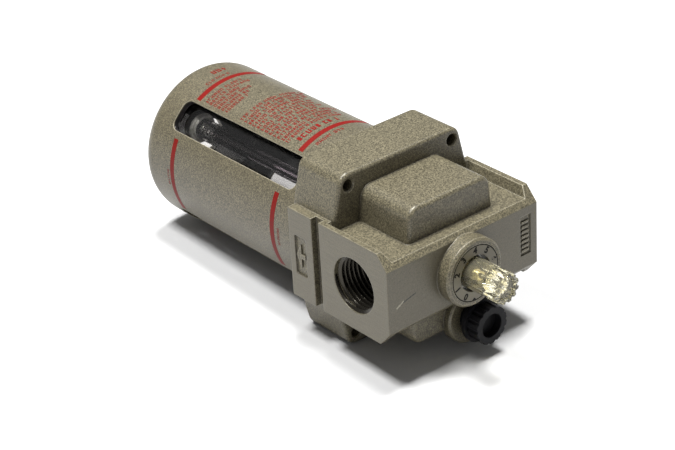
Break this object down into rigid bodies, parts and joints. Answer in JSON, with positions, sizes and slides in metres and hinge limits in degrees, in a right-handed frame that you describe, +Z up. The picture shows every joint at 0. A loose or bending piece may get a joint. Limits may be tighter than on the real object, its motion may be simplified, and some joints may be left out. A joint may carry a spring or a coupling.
{
  "type": "compressed air line lubricator",
  "caption": "Oil-mist lubricator for a compressed-air line: ported head, slotted metal bowl guard round a clear bowl, adjustable drip dome with a dial, and a knurled fill plug.",
  "frame": {"origin": "where the air line's centre crosses the bowl's centre", "axes": "+X along the air flow, from the inlet port to the outlet port; +Y from the head towards the closed end of the bowl, which hangs down in service; +Z up as the loose part lies, towards its bracket side"},
  "size_m": [0.07, 0.1696, 0.068],
  "materials": {
    "champagne_paint": "satin cast",
    "champagne_guard_paint": "satin",
    "clear_bowl": "clear moulded polycarbonate",
    "seal_rubber": "matte",
    "clear_tube": "clear nylon",
    "white_nylon": "moulded",
    "steel_ball": "polished",
    "sintered_strainer": "sintered grain",
    "brass_fitting": "turned",
    "clear_dome": "clear moulded polycarbonate",
    "spring_steel": "turned",
    "dial_metal": "satin",
    "flap_elastomer": "moulded",
    "black_nylon": "moulded"
  },
  "bodies": {
    "head": {"head_casting": "champagne_paint", "bowl_seal": "seal_rubber", "siphon_tube": "clear_tube", "siphon_check": "white_nylon", "strainer": "sintered_strainer", "check_plug": "brass_fitting", "dome_snap_ring": "spring_steel", "dial_plate": "dial_metal", "drip_nozzle": "brass_fitting", "damper_ring": "white_nylon", "damper_pin": "spring_steel", "baffle_plate": "white_nylon", "baffle_screws": "spring_steel"},
    "bowl_assembly": {"bowl_guard": "champagne_guard_paint", "bowl": "clear_bowl"},
    "dome": {"sight_dome": "clear_dome", "dome_seal": "seal_rubber"},
    "needle": {"metering_needle": "spring_steel"},
    "plug_carrier": {"fill_plug_seal": "seal_rubber"},
    "plug": {"fill_plug": "black_nylon"},
    "flap": {"damper_flap": "flap_elastomer"},
    "siphon_ball": {"siphon_ball": "steel_ball"},
    "check_ball": {"check_ball": "steel_ball"}
  },
  "joints": [
    {"name": "bowl_turn", "type": "hinge", "parent": "head", "child": "bowl_assembly", "pos_m": [0, 0, 0], "axis": [0, 1, 0], "range_deg": [0, 45]},
    {"name": "dome_turn", "type": "hinge", "parent": "head", "child": "dome", "pos_m": [0, 0, 0], "axis": [0, 1, 0], "range_deg": [0, 300]},
    {"name": "needle_lift", "type": "slide", "parent": "head", "child": "needle", "axis": [0, -1, 0], "range_m": [0, 0.0009]},
    {"name": "plug_lift", "type": "slide", "parent": "head", "child": "plug_carrier", "axis": [0, -1, 0], "range_m": [0, 0.0062]},
    {"name": "plug_turn", "type": "hinge", "parent": "plug_carrier", "child": "plug", "pos_m": [0.006, -0.0144, -0.0232], "axis": [0, -1, 0], "range_deg": [0, 1440]},
    {"name": "flap_swing", "type": "hinge", "parent": "head", "child": "flap", "pos_m": [0, -0.0067, 0], "axis": [0, 0, -1], "range_deg": [0, 55], "stiffness_Nm_per_rad": 0.0004},
    {"name": "siphon_ball_lift", "type": "slide", "parent": "head", "child": "siphon_ball", "axis": [0, -1, 0], "range_m": [0, 0.0021]},
    {"name": "check_ball_lift", "type": "slide", "parent": "head", "child": "check_ball", "axis": [0, 1, 0], "range_m": [0, 0.0012]}
  ],
  "couplings": [
    {"joint": "needle_lift", "follows": "dome_turn", "m_per_rad": 0.00015279},
    {"joint": "plug_lift", "follows": "plug_turn", "m_per_rad": 0.00023873}
  ]
}
